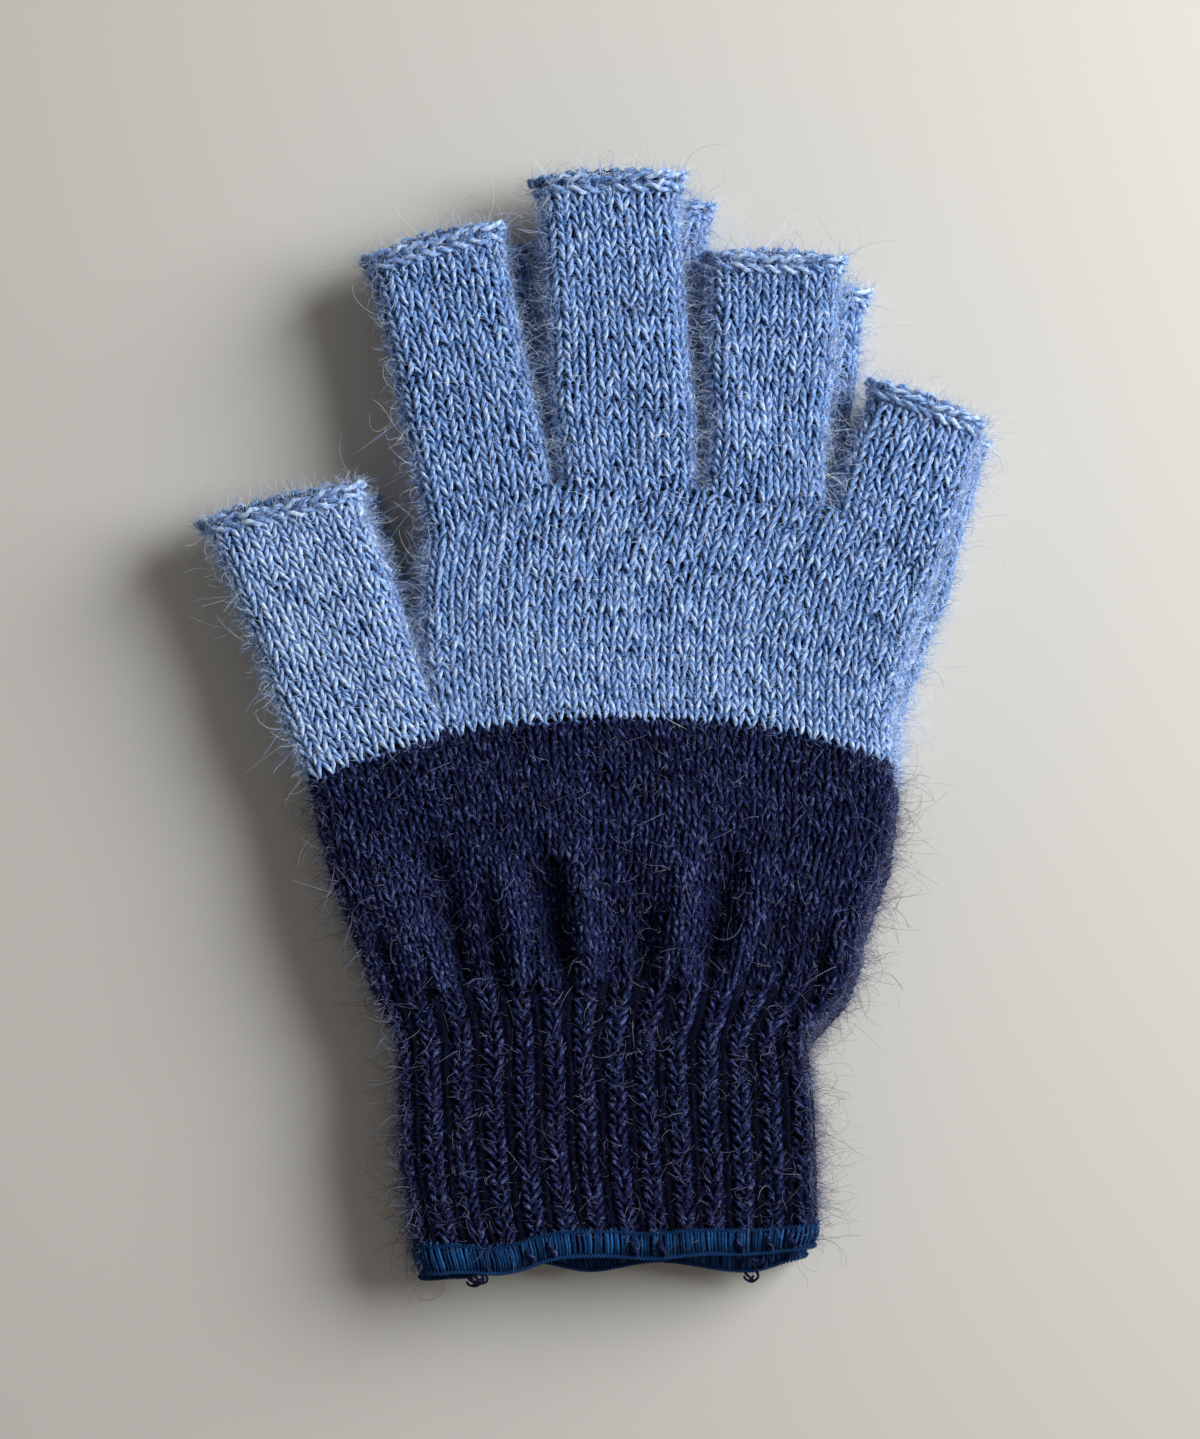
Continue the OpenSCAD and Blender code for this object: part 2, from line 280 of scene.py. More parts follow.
class Shape:
    """The outline of one glove and the rows that its courses follow. Each row function takes u, from 0 at
    the thumb side to 1, and v, from 0 at the section's first course to 1 at its last."""

    def __init__(self, glove):
        self.lie = Lie(glove)
        self.glove = glove
        flat = self.lie.flat
        upper = Lie("upper")
        roots = {d: measure_digit(upper, "upper", d) for d in DIGITS}
        self.digits = {d: measure_digit(self.lie, glove, d) for d in DIGITS}
        self.cuff_left, self.cuff_right = edge_corners(flat(node_points(glove + "_cuff")))
        hand_points = flat(node_points(glove + "_hand"))
        self.hand_left, self.hand_right = edge_corners(hand_points)
        sag = (self.hand_left[-1][1] + self.hand_right[-1][1]) / 2
        self.rise = hand_points[:, 1].max() - sag
        touching = (node_points("lower_hand")[:, 2].max() + node_points("upper_hand")[:, 2].min()) / 2
        self.room = (0.0, touching) if glove == "lower" else (touching, math.inf)
        self.hem_top = flat(node_points(glove + "_hem"))[:, 1].max()
        self.wrist = self.hand_left[0][1]

        def corner(name, side, back=CROTCH_BACK):
            return roots[name]["root"][side] - roots[name]["ahead"] * back

        crotches = [min(corner(one, 1), corner(other, 0), key=lambda p: p[1])
                    for one, other in zip(DIGITS[1:], DIGITS[2:])]
        self.thumb_crotch = corner("thumb", 1)
        self.roots = [corner("index", 0, OUTER_BACK["index"]), *crotches,
                      corner("little", 1, OUTER_BACK["little"])]

    def cuff_row(self, u, v):
        foot = np.array([self.cuff_left[0], self.cuff_right[0]])
        wrist = np.array([self.hand_left[0], self.hand_right[0]])
        foot = foot + (foot - wrist) * ((self.hem_top - CUFF_START) / (self.wrist - self.hem_top))
        part = self.wrist_part()
        rise = np.minimum(v / part, 1)
        low = mix(mix(foot[0], wrist[0], column(rise)), mix(foot[1], wrist[1], column(rise)), column(u))
        free = np.clip(1 - rise, 0, 1)
        low = low + column(wave(u, HEM_WAVE[self.glove]) * free ** 2) * [0, 1]
        low = low + column(mix(*CUFF_BULGE, u) * np.sin(math.pi * (1 - free) ** 0.7)) * [1, 0]
        return np.where(column(v) < part, low, self.outline_row(u, (v - part) / (1 - part) * RIB_TOP))

    def wrist_part(self):
        """The share of the rib that lies below the wrist."""
        below = self.wrist - CUFF_START
        return below / (below + RIB_TOP * (self.hand_left[-1][1] - self.wrist))

    def outline_row(self, u, v):
        row = mix(along(self.hand_left, v), along(self.hand_right, v), column(u))
        waist = HAND_WAIST * np.sin(math.tau * np.clip(v / WAIST_TOP, 0, 1)) * u
        row = row + column(waist) * [1, 0]
        return row + column(self.rise * v * arch(u)) * [0, 1]

    def dark_row(self, u, v):
        return self.outline_row(u, RIB_TOP + (1 - RIB_TOP) * v)

    def dark_edge(self, u):
        return self.dark_row(u, np.ones_like(u))

    def palm_row(self, u, v):
        bow = column(4 * v * (1 - v) * mix(*PALM_BOW, u)) * [1, 0]
        ends = mix(self.roots[0], self.roots[-1], column(u))
        crown = ends + column(PALM_CROWN * arch(u, 2)) * [0, 1]
        valleys = along(self.roots, u) - crown
        foot = self.dark_edge(THUMB_PART - PALM_LAP + (1 + PALM_LAP - THUMB_PART) * u)
        return mix(foot, crown, column(v)) + valleys * column(np.abs(v) ** CROTCH_PULL) + bow

    def thumb_row(self, u, v):
        left_foot, part_foot, right_foot = (self.dark_edge(np.full_like(u, place)) for place in (
            0.0, THUMB_PART, THUMB_PART + THUMB_LAP))
        mouth = self.mouth("thumb")
        part = CROTCH_COURSE / DIGIT_COURSES["thumb"]
        crotch = self.thumb_crotch + THUMB_CROTCH
        left = mix(left_foot, mouth[0], column(v))
        right = np.where(column(v) < part, mix(right_foot, crotch, column(v / part)),
                         mix(crotch, mouth[1], column((v - part) / (1 - part))))
        arc = self.dark_edge(THUMB_PART * u) - mix(left_foot, part_foot, column(u))
        return mix(left, right, column(u)) + arc * column(1 - v)

    def mouth(self, name):
        """Corners of a mouth before it flares."""
        digit = self.digits[name]
        return [digit["mouth"][side] + digit["across"] * FLARE * (1 - 2 * side) +
                digit["ahead"] * MOUTH_SHIFT[name][side] for side in (0, 1)]

    def digit_row(self, name):
        if name == "thumb":
            return self.thumb_row
        k = DIGITS.index(name) - 1
        root = self.roots[k:k + 2]
        mouth = self.mouth(name)

        def row(u, v):
            return mix(mix(root[0], root[1], column(u)), mix(mouth[0], mouth[1], column(u)), column(v))

        return row


# ---------- knitting

RIPPLE_WAVES = 5  # waves that make up a ripple
RIPPLE_SCALE = 2.6  # brings their sum to about 1


def ripple(x, y, size, seed):
    """A smooth field between about -1 and 1, with humps about size across."""
    rng = np.random.default_rng(seed)
    total = 0
    for _ in range(RIPPLE_WAVES):
        angle, phase = rng.uniform(0, math.tau, 2)
        length = size * rng.uniform(0.8, 1.8)
        total = total + np.sin((x * math.cos(angle) + y * math.sin(angle)) * math.tau / length + phase)
    return total / RIPPLE_SCALE


class Section:
    """A knitted tube lying flat: rows of wales between two round folds."""

    def __init__(self, shape, row, wales, courses, phase=0.0, rib=None, crown=0.0, digit=None):
        self.shape, self.row = shape, row
        self.wales, self.courses, self.phase = wales, courses, phase
        self.rib, self.crown, self.digit = rib, crown, digit

    def round_tube(self, a, flat):
        """Which way the tube faces at wale a, outwards and up, and how far along its face that is. The face
        is flat wide between the folds."""
        quarter = math.pi * FOLD_R / 2
        s = np.mod((a - self.phase) / self.wales, 1.0) * (2 * flat + 4 * quarter)
        marks = [quarter, quarter + flat, 3 * quarter + flat, 3 * quarter + 2 * flat]
        before = [s < mark for mark in marks]
        turn = np.select(before, [s / FOLD_R, math.pi / 2 + 0 * s, math.pi / 2 + (s - marks[1]) / FOLD_R,
                                  1.5 * math.pi + 0 * s], 1.5 * math.pi + (s - marks[3]) / FOLD_R)
        run = np.select(before, [0 * s, s - marks[0], flat, flat - (s - marks[2])], 0 * s)
        return -np.cos(turn), np.sin(turn), run

    def open_mouth(self, spot, z, u, v, up):
        """Flares a digit's fabric towards its mouth and lets the mouth gape."""
        far = np.ones(1)
        length = np.linalg.norm(self.row(far, far) - self.row(far, 0 * far))
        near = np.clip(1 - (1 - v) * length / FLARE_LENGTH, 0, 1.3) ** 2
        side = np.clip(2 * u - 1, -1, 1)
        spot = spot + column(FLARE * near * np.sign(side) * np.abs(side) ** 3) * self.digit["across"]
        gape = GAPE * near * arch(np.clip(u, 0, 1), 2.2)
        sag = gape * np.where(up > 0, -1.0, BACK_GAPE) * np.abs(up)
        spot = spot + column(sag - CORNER_DROP * near * np.abs(side) ** 6) * self.digit["ahead"]
        return spot, z + np.clip(up, 0, 1) * MOUTH_RISE * near * arch(np.clip(u, 0, 1), 2)

    def surface(self, a, b):
        """Place and outward normal, in the shared frame, at wale a round the tube and course b up it."""
        v = b / self.courses
        ends = [self.row(np.full_like(v, side), v) for side in (0.0, 1.0)]
        chord = ends[1] - ends[0]
        width = np.linalg.norm(chord, axis=-1)
        out, up, run = self.round_tube(a, width - 2 * (INSET + FOLD_R))
        u = (INSET + FOLD_R + run + FOLD_R * out) / width
        spot = self.row(u, v)
        z = FOLD_R * up + np.clip(up, 0, 1) * self.crown * arch(np.clip(u, 0, 1), 4)
        if self.digit is not None:
            spot, z = self.open_mouth(spot, z, u, v, up)
        across = chord / width[..., None]
        normal = np.concatenate([across * column(out), column(up)], axis=-1)
        lie = self.shape.lie
        place = lie.place(np.concatenate([spot, column(z)], axis=-1))
        x, y = place[..., 0], place[..., 1]
        shifts = [height * ripple(x, y, size, seed) for height, size, seed in UNEVEN]
        shifts[2] = shifts[2] * np.clip(place[..., 2] / FREE_HEIGHT, 0, 1)
        return place + np.stack(shifts, axis=-1), lie.turn(normal)

    def stitch(self, a, b, depth):
        """Place of a yarn point: depth is its distance in front of the middle surface."""
        if self.rib:
            a, depth = self.rib(a, b / self.courses, depth)
        place, normal = self.surface(a, b)
        return place + normal * column(depth), normal

    def courses_of_yarn(self, seed):
        """Closed course lines, their normals, and how far in front each point is, for the painted shade."""
        rng = np.random.default_rng(seed)
        points = self.wales * SAMPLES
        t = np.arange(points) / SAMPLES * math.tau
        course = np.arange(self.courses)[:, None] + 0.5
        swing = RIB_SWING if self.rib is cuff_rib else LOOP_SWING
        loose, lean = (smoothed(rng, (self.courses, points), width) for width in (3, 4))
        a = t / math.tau + swing * np.sin(2 * t) * (1 + SWING_VARIES * lean) + SLIP * loose
        b = course - LOOP_REACH * np.cos(t) * (1 + HEIGHT_VARIES * loose) + LEAN * lean
        depth = -LOOP_DEPTH * np.cos(2 * t) + LEAN * lean
        place, normal = self.stitch(a, b, depth)
        # painted shade: the loops' backs, and fabric that the ribs and folds sink, come out darker
        sunk = depth - self.rib(a, b / self.courses, depth)[1] if self.rib else 0 * a
        return place, normal, -np.cos(2 * t) - SUNK_PAINTED_SHADE * np.clip(sunk, -1, 3)


def smoothed(rng, size, width):
    """Noise made smooth along closed rows."""
    draws = rng.normal(0, 1, size)
    total = sum(np.roll(draws, k, axis=1) for k in range(-width, width + 1))
    return total / math.sqrt(2 * width + 1)


PLAIN_SHARE = 0.68  # share of a rib's width that its plain part takes
PURL_EASE = 0.15  # half the width over which plain turns to purl, in wales
PURL_DEPTH = 1.0  # a purl wale lies this far behind
HAND_PURL_DEPTH = 1.5
RIB_ROUND = 0.3  # the sides of a rib lie this far behind its crest
HAND_RIB_ROUND = 0.4
HAND_RIB_REACH = 0.42  # the ribs die away by this part of the dark section's height
REACH_WAVES = ((0.10, 0.9), (0.07, 2.3))  # give or take these waves: height, and radians to a wale
# Soft folds that run up from the wrist: wale, lean over the section's height, width, depth, and where it
# starts and ends up the section. A fold of negative depth is a ridge.
FOLDS = (
    (5.5, -2.4, 1.8, -1.4, -0.1, 0.50), (8.6, -2.0, 1.3, 2.0, -0.05, 0.50),
    (11.6, -1.6, 1.0, 1.2, -0.1, 0.30), (13.6, -1.6, 1.5, -1.8, -0.05, 0.42),
    (16.6, -1.4, 1.5, 3.0, 0.0, 0.40), (19.4, -0.6, 1.5, -1.7, -0.05, 0.42),
    (21.4, -0.4, 0.9, 1.2, -0.1, 0.30), (24.2, 0.2, 1.1, 2.2, -0.1, 0.22),
    (26.8, 0.8, 1.5, -1.6, -0.05, 0.45), (29.8, 1.2, 1.6, 2.7, 0.0, 0.40),
    (32.2, 1.6, 1.5, -1.4, 0.0, 0.40), (34.0, 2.0, 1.1, 1.8, -0.1, 0.25),
    (37.4, 2.4, 1.3, 1.2, -0.1, 0.16))
FOLD_START, FOLD_END = 0.12, 0.22  # the height over which a fold starts and ends
FOLD_FOOT = 0.2  # the height at which it crosses its wale


def rib_parts(a, wales, plain):
    """Splits a into ribs of so many wales, of which the first are plain: the wales' places once the rib has
    drawn together, how much of each point is in the purl wale, and how far it is from the rib's crest."""
    rib, part = np.divmod(a, wales)
    warped = rib * wales + np.interp(part, [0, plain, wales], [0, PLAIN_SHARE * wales, wales])
    starts, ends, wraps = (smooth((part - edge + PURL_EASE) / (2 * PURL_EASE)) for edge in (plain, wales, 0))
    in_purl = starts * (1 - ends) + 1 - wraps
    return warped, in_purl, np.abs(2 * part / plain - 1)


def cuff_rib(a, v, depth):
    """Sinks the purl wale between the ribs, with its loops facing inwards."""
    warped, in_purl, side = rib_parts(a, 2, 1)
    return warped, mix(depth - RIB_ROUND * side ** 2, -depth - PURL_DEPTH, in_purl)


def hand_rib(a, v, depth):
    """Ribs that die away above the cuff, and the soft folds between them."""
    warped, in_purl, side = rib_parts(a, 3, 2)
    reach = HAND_RIB_REACH
    for height, rate in REACH_WAVES:
        reach = reach + height * np.sin(a * rate)
    amount = 1 - smooth(v / reach)
    sunk = depth - amount * (HAND_PURL_DEPTH * in_purl + HAND_RIB_ROUND * side ** 2 * (1 - in_purl))
    for wale, lean, width, deep, start, end in FOLDS:
        near = np.exp(-((a - wale - lean * (v - FOLD_FOOT)) / width) ** 2)
        sunk = sunk - deep * near * smooth((v - start) / FOLD_START) * (1 - smooth((v - end) / FOLD_END))
    return mix(a, warped, amount), sunk


# ---------- meshes

TWIST = 1.1  # turns of the ply round the yarn, in radians per millimetre
STREAK = 1.3  # length of one fibre's streak
PLY = 1.3  # how many streaks lie side by side
NEXT_STRAND = 7.31  # each strand's streaks start this far along from the last one's
CELL_EDGE = 0.04  # free border of a strand's cell in the UVs, as a share of the cell


def fill(items, field, values, kind=np.float32):
    items.foreach_set(field, values.astype(kind).ravel())


class Strands:
    """Collects tubes of yarn or fibre and turns them into one mesh."""

    def __init__(self, room=(0.0, math.inf)):
        self.room = room
        self.verts, self.quads, self.caps, self.tones, self.fibres, self.cells = [], [], [], [], [], []
        self.count = 0

    def add(self, paths, radii, normals, tones, closed=False, sides=YARN_SIDES):
        """paths is strands x points x 3; the rest match it. Open strands get an end cap each way. Every
        strand stays inside the room, the lowest and highest z that the collection may fill."""
        paths, radii = paths.copy(), np.broadcast_to(radii, paths.shape[:2])
        paths[..., 2] = np.clip(paths[..., 2], self.room[0] + radii, self.room[1] - radii)
        steps = np.linalg.norm(np.diff(paths, axis=1, prepend=paths[:, :1]), axis=-1)
        run = np.cumsum(steps, axis=1) + NEXT_STRAND * np.arange(len(paths))[:, None]
        ahead = np.roll(paths, -1, axis=1) - np.roll(paths, 1, axis=1)
        if not closed:
            ahead[:, 0] = paths[:, 1] - paths[:, 0]
            ahead[:, -1] = paths[:, -1] - paths[:, -2]
        ahead /= np.linalg.norm(ahead, axis=-1, keepdims=True) + 1e-9
        side = np.cross(ahead, normals)
        side /= np.linalg.norm(side, axis=-1, keepdims=True) + 1e-9
        up = np.cross(side, ahead)
        angle = np.arange(sides) / sides * math.tau
        twist = angle[None, None] + (run * TWIST)[..., None]
        fibre = np.stack([np.repeat(run[..., None] / STREAK, sides, axis=-1), PLY * np.cos(twist),
                          PLY * np.sin(twist)], axis=-1)
        self.fibres.append(fibre.reshape(-1, 3))
        ring = (up[:, :, None] * np.cos(angle)[:, None] + side[:, :, None] * np.sin(angle)[:, None])
        verts = paths[:, :, None] + ring * np.asarray(radii)[..., None, None]
        n, k = paths.shape[:2]
        index = np.arange(n * k * sides).reshape(n, k, sides) + self.count
        here = index if closed else index[:, :-1]
        there = np.roll(index, -1, axis=1) if closed else index[:, 1:]
        quads = np.stack([here, np.roll(here, -1, axis=2), np.roll(there, -1, axis=2), there], axis=-1)
        self.verts.append(verts.reshape(-1, 3))
        self.quads.append(quads.reshape(-1, 4))
        self.tones.append(np.repeat(np.asarray(tones, np.float32).reshape(n, k), sides, axis=1).ravel())
        if not closed:
            self.caps.append(np.concatenate([index[:, 0, ::-1], index[:, -1]]))
        self.cells.append((n, here.shape[1], sides))
        self.count += n * k * sides

    def add_sheet(self, grid, inner, tone):
        """A closed sleeve of fabric: grid and inner are rows x points round x 3."""
        rows, points = grid.shape[:2]
        verts = np.stack([grid, inner])
        verts[..., 2] = np.clip(verts[..., 2], *self.room)
        index = np.arange(verts.size // 3).reshape(2, rows, points) + self.count
        nxt = np.roll(index, -1, axis=2)
        faces = ((index[0, :-1], nxt[0, :-1], nxt[0, 1:], index[0, 1:]),
                 (index[1, :-1], index[1, 1:], nxt[1, 1:], nxt[1, :-1]),
                 (index[0, 0], index[1, 0], nxt[1, 0], nxt[0, 0]),
                 (index[0, -1], nxt[0, -1], nxt[1, -1], index[1, -1]))
        self.verts.append(verts.reshape(-1, 3))
        self.quads.append(np.concatenate([np.stack(f, axis=-1).reshape(-1, 4) for f in faces]))
        self.tones.append(np.full(verts.size // 3, tone, np.float32))
        self.fibres.append(verts.reshape(-1, 3))
        self.cells.append((1, 2 * rows, points))
        self.count += verts.size // 3

    def bake_cells(self):
        """Corner UVs that give every strand a cell of its own on a square."""
        total = sum(n for n, _, _ in self.cells)
        columns = max(1, int(math.sqrt(total / 4)))
        lines = math.ceil(total / columns)
        uvs, at = [], 0
        for n, k, sides in self.cells:
            cell = np.arange(n)[:, None, None] + at
            x0, y0 = cell % columns, cell // columns
            i = np.arange(k)[None, :, None]
            j = np.arange(sides)[None, None, :]
            corners = []
            for di, dj in ((0, 0), (0, 1), (1, 1), (1, 0)):
                u = (x0 + CELL_EDGE + (1 - 2 * CELL_EDGE) * (i + di) / k) / columns
                v = (y0 + CELL_EDGE + (1 - 2 * CELL_EDGE) * (j + dj) / sides) / lines
                corners.append(np.stack(np.broadcast_arrays(u, v), axis=-1))
            uvs.append(np.stack(corners, axis=-2).reshape(-1, 2))
            at += n
        return np.concatenate(uvs)

    def mesh(self, name):
        verts = np.concatenate(self.verts) * MM
        quads = np.concatenate(self.quads)
        corners = [quads.ravel()]
        starts = [np.arange(len(quads)) * 4]
        uvs = [self.bake_cells()]
        at = quads.size
        for caps in self.caps:
            corners.append(caps.ravel())
            starts.append(at + np.arange(len(caps)) * caps.shape[1])
            uvs.append(np.zeros((caps.size, 2)))
            at += caps.size
        starts = np.concatenate(starts)
        mesh = bpy.data.meshes.new(name)
        mesh.vertices.add(len(verts))
        fill(mesh.vertices, "co", verts)
        mesh.loops.add(at)
        fill(mesh.loops, "vertex_index", np.concatenate(corners), np.int32)
        mesh.polygons.add(len(starts))
        fill(mesh.polygons, "loop_start", starts, np.int32)
        mesh.update(calc_edges=True)
        fill(mesh.polygons, "use_smooth", np.ones(len(starts)), bool)
        fill(mesh.attributes.new("tone", "FLOAT", "POINT").data, "value", np.concatenate(self.tones))
        fibre = mesh.attributes.new("fibre", "FLOAT_VECTOR", "POINT")
        fill(fibre.data, "vector", np.concatenate(self.fibres))
        fill(mesh.uv_layers.new(name="OFBake").data, "uv", np.concatenate(uvs))
        return mesh


def piece(name, strands, kind, body, stands_for=(), bend=None):
    """A finished piece of one kind of yarn or fuzz: made, and riding with its body unless given a bend line.
    """
    material, slot = MATERIALS[kind], SLOTS[kind]
    obj = bpy.data.objects.new(name, strands.mesh(name))
    bpy.context.collection.objects.link(obj)
    obj.data.materials.append(material)
    if bend is None:
        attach(obj, body)
    else:
        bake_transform(obj)
    if stands_for:
        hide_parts(*stands_for)


# ---------- materials

def node_tree(name):
    material = bpy.data.materials.new(name)
    material.use_nodes = True
    nodes = material.node_tree.nodes
    return material, nodes, material.node_tree.links, nodes["Principled BSDF"]


def colour_ramp(nodes, stops):
    ramp = nodes.new("ShaderNodeValToRGB")
    elements = ramp.color_ramp.elements
    while len(elements) < len(stops):
        elements.new(0.5)
    for element, (place, colour) in zip(elements, stops):
        element.position = place
        element.color = (*colour, 1)
    return ramp


def maths(nodes, links, operation, first, second, clamp=False):
    node = nodes.new("ShaderNodeMath")
    node.operation = operation
    node.use_clamp = clamp
    for socket, value in zip(node.inputs, (first, second)):
        if isinstance(value, float):
            socket.default_value = value
        else:
            links.new(value, socket)
    return node.outputs[0]


def noise(nodes, links, vector, scale, detail):
    node = nodes.new("ShaderNodeTexNoise")
    node.inputs["Scale"].default_value = scale
    node.inputs["Detail"].default_value = detail
    links.new(vector, node.inputs["Vector"])
    return node.outputs["Fac"]


STREAK_DETAIL = 3
PATCH_SCALE = 330  # patches of wool about 3 mm across
PATCH_DETAIL = 2
PATCHES = 0.3  # how much they change the tone
BUMP_STRENGTH = 0.8
WOOL_ROUGHNESS = 0.85
WOOL_SPECULAR = 0.1
SHEEN_ROUGHNESS = 0.5


def wool(name, stops, contrast, sheen, bump_depth):
    """Heathered wool: each strand's own tone, streaks of pale and dark fibre along it, and their relief."""
    material, nodes, links, shader = node_tree(name)
    tone = nodes.new("ShaderNodeAttribute")
    tone.attribute_name = "tone"
    fibre = nodes.new("ShaderNodeAttribute")
    fibre.attribute_name = "fibre"
    place = nodes.new("ShaderNodeTexCoord")
    streaks = noise(nodes, links, fibre.outputs["Vector"], 1.0, STREAK_DETAIL)
    patches = noise(nodes, links, place.outputs["Object"], PATCH_SCALE, PATCH_DETAIL)
    both = maths(nodes, links, "ADD", maths(nodes, links, "MULTIPLY", streaks, contrast),
                 maths(nodes, links, "MULTIPLY", patches, PATCHES))
    shift = maths(nodes, links, "SUBTRACT", both, (contrast + PATCHES) / 2)
    total = maths(nodes, links, "ADD", tone.outputs["Fac"], shift, True)
    ramp = colour_ramp(nodes, stops)
    links.new(total, ramp.inputs["Fac"])
    links.new(ramp.outputs["Color"], shader.inputs["Base Color"])
    if bump_depth:
        bump = nodes.new("ShaderNodeBump")
        bump.inputs["Strength"].default_value = BUMP_STRENGTH
        bump.inputs["Distance"].default_value = bump_depth
        links.new(streaks, bump.inputs["Height"])
        links.new(bump.outputs["Normal"], shader.inputs["Normal"])
    sheen_weight, sheen_tint = sheen
    for socket, value in (("Roughness", WOOL_ROUGHNESS), ("Specular IOR Level", WOOL_SPECULAR),
                          ("Sheen Weight", sheen_weight), ("Sheen Roughness", SHEEN_ROUGHNESS),
                          ("Sheen Tint", (*sheen_tint, 1))):
        shader.inputs[socket].default_value = value
    return material


# Colours from the darkest fibres to the palest: tone and colour
LIGHT_STOPS = [(0.0, (0.003, 0.015, 0.058)), (0.33, (0.047, 0.122, 0.315)),
               (0.6, (0.195, 0.347, 0.71)), (1.0, (0.64, 0.79, 0.98))]
LIGHT_HAIR = [(0.0, (0.11, 0.22, 0.52)), (0.6, (0.40, 0.57, 0.92)), (1.0, (0.92, 0.96, 1.0))]
DARK_STOPS = [(0.0, (0.0002, 0.0007, 0.008)), (0.38, (0.0023, 0.0043, 0.027)),
              (0.68, (0.010, 0.0165, 0.074)), (1.0, (0.09, 0.11, 0.27))]
DARK_HAIR = [(0.0, (0.006, 0.009, 0.042)), (0.6, (0.040, 0.052, 0.15)), (1.0, (0.34, 0.37, 0.52))]
THREAD_STOPS = [(0.0, (0.0005, 0.004, 0.022)), (0.5, (0.0034, 0.034, 0.125)), (1.0, (0.02, 0.13, 0.36))]

# Colours, contrast of the streaks, sheen and its tint, and depth of the relief in metres
MATERIALS = {
    "light": wool("light_blue_wool", LIGHT_STOPS, 1.7, (0.25, (0.75, 0.85, 1.0)), 0.0003),
    "dark": wool("navy_wool", DARK_STOPS, 2.2, (0.06, (0.35, 0.42, 0.9)), 0.0003),
    "light_fuzz": wool("light_blue_mohair", LIGHT_HAIR, 0.2, (0.3, (0.85, 0.92, 1.0)), None),
    "dark_fuzz": wool("navy_mohair", DARK_HAIR, 0.2, (0.15, (0.6, 0.65, 0.9)), None),
    "thread": wool("hem_thread", THREAD_STOPS, 0.8, (0.05, (0.6, 0.75, 1.0)), 0.0001),
}
SLOTS = dict(light="light_blue_yarn", light_fuzz="light_blue_yarn", dark="navy_yarn", dark_fuzz="navy_yarn",
             thread="hem_thread")


# ---------- fuzz

FIBRE_R = 0.036  # radius of one fibre at its root
FIBRE_TIP = 0.45  # share of it at the tip
FIBRE_FLOOR = 0.06  # fibres stay this far above the floor
FIBRE_TOP = cad_box[1][2] / MM + 2.0  # above this height they bend over
FIBRE_HEADROOM = 6.5  # and never rise further than this beyond it
# Fibres to a stitch: the nap on the seen face and on the hidden one, and the halo at the folds
FUZZ = {
    ("upper", "light"): (8.5, 1.5, 28.0), ("upper", "dark"): (5.5, 1.0, 20.0),
    ("lower", "light"): (1.5, 1.5, 26.0), ("lower", "dark"): (1.0, 1.0, 20.0),
}
LONG_HAIRS = 0.35  # long hairs to a stitch, all on the seen face
FLYAWAYS = dict(light=3.2, dark=4.5)  # and at the folds
CUFF_FUZZ = 1.8  # the cuff is this much fuzzier
SEEN_UP = -0.15  # yarn that faces up more than this is seen
FOLD_UP = 0.85  # and yarn that faces up or down less than this is at a fold

# Kinds of fibre: shortest and longest, how much the least and the most upright stand up, points along
# one, darkest and palest tone, and how much they curl
NAP = ((0.5, 2.4), (0.0, 0.9), 3, (0.1, 1.0), 1.0)
LONG_HAIR = ((2.5, 8.0), (0.0, 0.7), 9, (0.5, 1.0), 1.9)
HALO = ((0.6, 4.2), (0.2, 1.3), 4, (0.1, 1.0), 1.2)
FLYAWAY = ((2.5, 12.0), (0.2, 1.2), 11, (0.4, 1.0), 3.0)


def unit(vectors):
    return vectors / (np.linalg.norm(vectors, axis=-1, keepdims=True) + 1e-9)


def add_fuzz(strands, places, normals, count, rng, kind):
    """Adds count curling fibres of a kind that leave random places of the yarn."""
    length, stand, points, tone, curl = kind
    pick = rng.integers(0, len(places), count)
    up = normals[pick]
    wild = unit(rng.normal(0, 1, (count, 3)))
    head = unit(up * rng.uniform(*stand, (count, 1)) + wild)
    roots = places[pick] + up * (YARN_R * 0.5) + wild * (YARN_R * 0.6)
    side = unit(np.cross(head, rng.normal(0, 1, (count, 3))))
    third = np.cross(head, side)
    t = np.linspace(0, 1, points)[None]
    bend, roll = ((rng.normal(0, curl, (count, 1)) * t)[..., None] for _ in range(2))
    aside = side[:, None] * np.cos(roll) + third[:, None] * np.sin(roll)
    aims = head[:, None] * np.cos(bend) + np.sin(bend) * aside
    lengths = length[0] + (length[1] - length[0]) * rng.uniform(0, 1, count) ** 2
    steps = np.concatenate([np.zeros((count, 1, 3)), aims[:, :-1]], axis=1)
    line = roots[:, None] + np.cumsum(steps, axis=1) * (lengths / (points - 1))[:, None, None]
    over = FIBRE_HEADROOM * np.tanh(np.maximum(line[..., 2] - FIBRE_TOP, 0) / FIBRE_HEADROOM)
    line[..., 2] = np.clip(line[..., 2], FIBRE_FLOOR, FIBRE_TOP) + over
    taper = FIBRE_R * np.linspace(1, FIBRE_TIP, points)[None] * rng.uniform(0.7, 1.2, (count, 1))
    tones = np.repeat(rng.uniform(*tone, (count, 1)), points, axis=1)
    strands.add(line, taper, np.repeat(side[:, None], points, axis=1), tones, sides=3)


